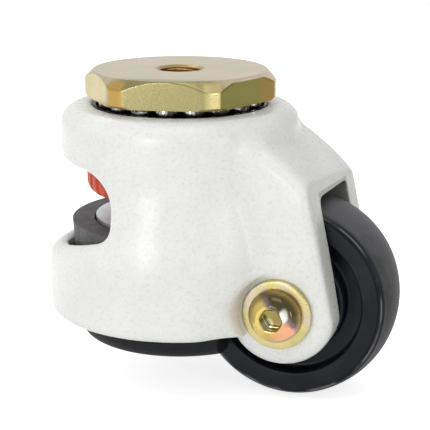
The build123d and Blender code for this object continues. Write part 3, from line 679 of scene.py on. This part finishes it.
dial_line = outline([(POCKET / 2, -31.3, 0), (11.0, -31.3, 0.5), (11.0, DIAL_BOTTOM, 0.6),
                     (DIAL_RADIUS, DIAL_BOTTOM, 2.8), (DIAL_RADIUS, -22.8, 0.9),
                     (20.4, -22.8, 0.5), (20.4, DIAL_WEB_TOP, 0.6),
                     (POCKET / 2, DIAL_WEB_TOP, 0)], 0.8, 5)
turned("dial_scalloped", "thumb_dial", dial_line, dial_red, ["dial"],
       steps=GRIPS * 14, shape=dial_shape, loop=True)

# ---------------------------------------------------------------- foot screw
SCREW_RADIUS, SCREW_PITCH, SCREW_TOP, RIVET = 4.95, 1.5, -10.2, 3.2


def screw_shape(radius, angle, height):
    """Above the foot plate the shank swings between crest and root radius along a helix."""
    cut = 0.85 * (1 - helix(angle, height, SCREW_PITCH))
    threaded = (radius > SCREW_RADIUS - 0.01) & (height > PLATE_TOP + 0.8)
    return np.where(threaded, radius - cut, radius + 0 * angle)


screw_line = outline([(0, SCREW_TOP, 0), (SCREW_RADIUS - 1, SCREW_TOP, 0),
                      (SCREW_RADIUS, SCREW_TOP - 1, 0), (SCREW_RADIUS, PLATE_TOP, 0),
                      (RIVET, PLATE_TOP, 0), (RIVET, PLATE_TOP - 1, 0), (4.5, PLATE_BOTTOM, 0),
                      (0, PLATE_BOTTOM, 0)], 0.16, 1)
turned("foot_screw_threaded", "levelling_foot", screw_line, zinc, ["foot_screw"],
       steps=72, shape=screw_shape)

# ---------------------------------------------------------------- wheel
WHEEL_RADIUS, FACE, SEAT, BEARING_RADIUS = 25.0, 9.7, 2.7, 11.0
CROWN, TREAD_HALF = 1.1, 7.9


def wheel_line():
    """Half of the wheel's outline and its mirror image, from the shoulder between the bearings out
    to the tread, whose crown falls off with the square of the distance from the middle."""
    half = outline([(8.5, 0, 0), (8.5, SEAT, 0.2), (BEARING_RADIUS, SEAT, 0.1),
                    (BEARING_RADIUS, FACE, 0.4), (13.8, FACE, 0.6), (13.5, 5.1, 0.9),
                    (18.3, 5.1, 0.9), (18.1, FACE, 0.5), (22.2, FACE, 0.3),
                    (22.35, FACE - 0.5, 0.12), (22.75, FACE - 0.5, 0.12),
                    (23.0, FACE - 0.2, 0.3), (23.7, FACE - 1.0, 0.6),
                    (WHEEL_RADIUS - CROWN, TREAD_HALF, 0)], 0.9, 6)
    y = np.linspace(7.6, 0, 16)
    crown = np.stack([WHEEL_RADIUS - CROWN * (y / TREAD_HALF) ** 2, y], -1)
    half = np.vstack([half, crown])
    return np.vstack([half, half[-2:0:-1] * (1, -1)])


turned("wheel_moulded", "rolling_wheel", wheel_line(), nylon, ["wheel"],
       steps=256, loop=True, upright=False)

# ---------------------------------------------------------------- axle bolt, washers and nut
SHANK, SHANK_PITCH, THREAD_FROM, SOCKET = 3.95, 1.25, 20.5, 5.0


def bolt_shape(radius, angle, height):
    """The socket's floor and wall follow a hexagon with blunt corners; the shank's end carries a
    thread."""
    socket = (height > BOLT_FACE - 4.35) & (radius < SOCKET / 2 + 0.01) & (height < BOLT_FACE)
    six = radius / (SOCKET / 2) * np.minimum(hexagon(angle, SOCKET), 2.82)
    threaded = (np.abs(radius - SHANK) < 0.01) & (height > THREAD_FROM)
    cut = 0.6 * (1 - helix(angle, height, SHANK_PITCH))
    return np.where(socket, six, np.where(threaded, radius - cut, radius + 0 * angle))


bolt_line = np.vstack([
    outline([(0, BOLT_FACE - 1.8, 0), (SOCKET / 2, BOLT_FACE - 1.8, 0.05),
             (SOCKET / 2, BOLT_FACE - 4.3, 0)], 0.3, 2),
    outline([(2.95, BOLT_FACE - 4.4, 0), (3.6, BOLT_FACE - 4.4, 0.4), (5.3, BOLT_FACE - 3.4, 2.5),
             (6.4, BOLT_FACE - 1.3, 1.2), (6.5, BOLT_FACE - 0.3, 0.3), (6.1, BOLT_FACE, 0.2),
             (SHANK, BOLT_FACE, 0.1), (SHANK, THREAD_FROM - 0.5, 0)], 0.5, 5),
    outline([(SHANK, THREAD_FROM - 0.3, 0), (SHANK, 29.0, 0), (SHANK - 0.8, 29.8, 0.1),
             (0, 29.8, 0)], 0.16, 2)])
turned("axle_bolt_domed", "fork", bolt_line, bolt_plate, ["axle_bolt"], steps=96,
       shape=bolt_shape, upright=False)


def washer_line(start):
    """A flat ring from this height up, with its edges rolled round by the punch."""
    end = start + WASHER
    return outline([(4.1, start + 0.8, 0), (4.1, start, 0.2), (8.5, start, 0.45),
                    (8.5, end, 0.45), (4.1, end, 0.2), (4.1, start + 0.81, 0)], 1.2, 4)


for name, stands_for, start in (("bolt_washer_rolled", "bolt_washer", BOLT_FACE),
                                ("nut_washer_rolled", "nut_washer", LEG_OUTSIDE)):
    turned(name, "fork", washer_line(start), washer_plate, [stands_for], steps=144,
           loop=True, upright=False)


def nut_shape(radius, angle, height):
    """A turned blank cut by a hexagon, up to the locking collar."""
    six = softer_least(radius + 0 * angle, hexagon(angle, 13.0), 0.25)
    return np.where(radius > 5.9, six, radius + 0 * angle)


nut_line = outline([(4.0, NUT_FACE, 0), (6.3, NUT_FACE, 0), (7.5, NUT_FACE + 0.8, 0.3),
                    (7.5, NUT_FACE + 5.3, 0.3), (6.3, NUT_FACE + 6.1, 0.2),
                    (5.8, NUT_FACE + 6.2, 0.2), (5.8, NUT_FACE + 7.6, 0.5),
                    (5.3, NUT_FACE + 8.0, 0.3), (4.0, NUT_FACE + 8.0, 0)], 0.3, 4)
turned("axle_nut_locking", "fork", nut_line, washer_plate, ["axle_nut"], steps=144,
       shape=nut_shape, loop=True, upright=False)

# ---------------------------------------------------------------- finishes of the other CAD nodes
for names, finish in ((("upper_race", "lower_race", "retaining_race", "race_snap_ring",
                        "nut_snap_ring"), grease),
                      (("dial_nut", "foot_plate", "bearing_spacer", "near_spacer_washer",
                        "far_spacer_washer"), zinc),
                      (("foot_pad",), rubber),
                      (("near_bearing_outer_ring", "near_bearing_inner_ring",
                        "near_bearing_balls", "far_bearing_outer_ring",
                        "far_bearing_inner_ring", "far_bearing_balls"), polished)):
    for name in names:
        nodes[name].data.materials.clear()
        nodes[name].data.materials.append(finish)

# ---------------------------------------------------------------- stage, light and camera
def stage_white():
    """Pale floor that is seen as white and keeps the shadow."""
    f = Finish("floor_white")
    plain = f.node("ShaderNodeBsdfDiffuse", None, {"Color": (0.85, 0.85, 0.85, 1)})
    glow = f.node("ShaderNodeEmission", None, {"Color": (1, 1, 1, 1), "Strength": f.seen() * 0.75})
    return f.shown(f.node("ShaderNodeAddShader", None, {0: plain, 1: glow}))


corners = np.array([(x, y, FLOOR_Z) for y in (-FLOOR_HALF, FLOOR_HALF)
                    for x in (-FLOOR_HALF, FLOOR_HALF)])
floor = mesh_of("floor", corners, quads_of(2, 2, ring=False))
floor.materials.append(stage_white())
floor_piece = bpy.data.objects.new("floor", floor)
bpy.context.scene.collection.objects.link(floor_piece)

world = bpy.data.worlds.new("studio")
bpy.context.scene.world = world
sky = Finish("studio", world)
toward = sky.node("ShaderNodeSeparateXYZ", None,
                  {0: sky.node("ShaderNodeTexCoord", output="Generated")}, output=("X", "Y", "Z"))
soft = sky.node("ShaderNodeBackground", None,
                {"Color": (1, 1, 1, 1), "Strength": toward[0] * -0.26 + toward[1] * -0.20 + 0.60})
white = sky.node("ShaderNodeBackground", None, {"Color": (1, 1, 1, 1), "Strength": 1.0})
sky.shown(sky.node("ShaderNodeMixShader", None, {0: sky.seen(), 1: soft, 2: white}),
          "ShaderNodeOutputWorld")

MIDDLE = Vector((8.165, 2.764, -37.38)) * MM
CAMERA_SIDE, CAMERA_AWAY = Vector((0.3102, -0.9164, 0.2533)).normalized(), 0.347


def lamp(name, azimuth, elevation, distance, width, height, power):
    """A soft box that faces the middle of the castor, at an azimuth from -y towards +x. Angles
    are in degrees, lengths in metres and the power in watts."""
    away = Vector((sin(radians(azimuth)) * cos(radians(elevation)),
                   -cos(radians(azimuth)) * cos(radians(elevation)), sin(radians(elevation))))
    data = bpy.data.lights.new(name, "AREA")
    data.shape, data.energy = "RECTANGLE", power
    data.size, data.size_y = width, height
    box = bpy.data.objects.new(name, data)
    bpy.context.scene.collection.objects.link(box)
    box.location = MIDDLE + away * distance
    box.rotation_euler = (-away).to_track_quat("-Z", "Y").to_euler()


lamp("left_box", -10, 5, 0.8, 0.11, 0.26, 1.15)
lamp("right_box", 60, 6, 0.8, 0.09, 0.22, 0.55)
lamp("top_box", 10, 68, 0.9, 0.55, 0.55, 1.6)
lamp("rear_box", 225, 50, 0.9, 0.40, 0.30, 0.6)

camera_data = bpy.data.cameras.new("camera")
camera_data.sensor_width, camera_data.lens = 36, 114.9
camera = bpy.data.objects.new("camera", camera_data)
bpy.context.scene.collection.objects.link(camera)
camera.location = MIDDLE + CAMERA_SIDE * CAMERA_AWAY
camera.rotation_euler = (-CAMERA_SIDE).to_track_quat("-Z", "Y").to_euler()
camera_data.clip_start = 0.01
bpy.context.scene.camera = camera
bpy.context.scene.view_settings.view_transform = "Standard"
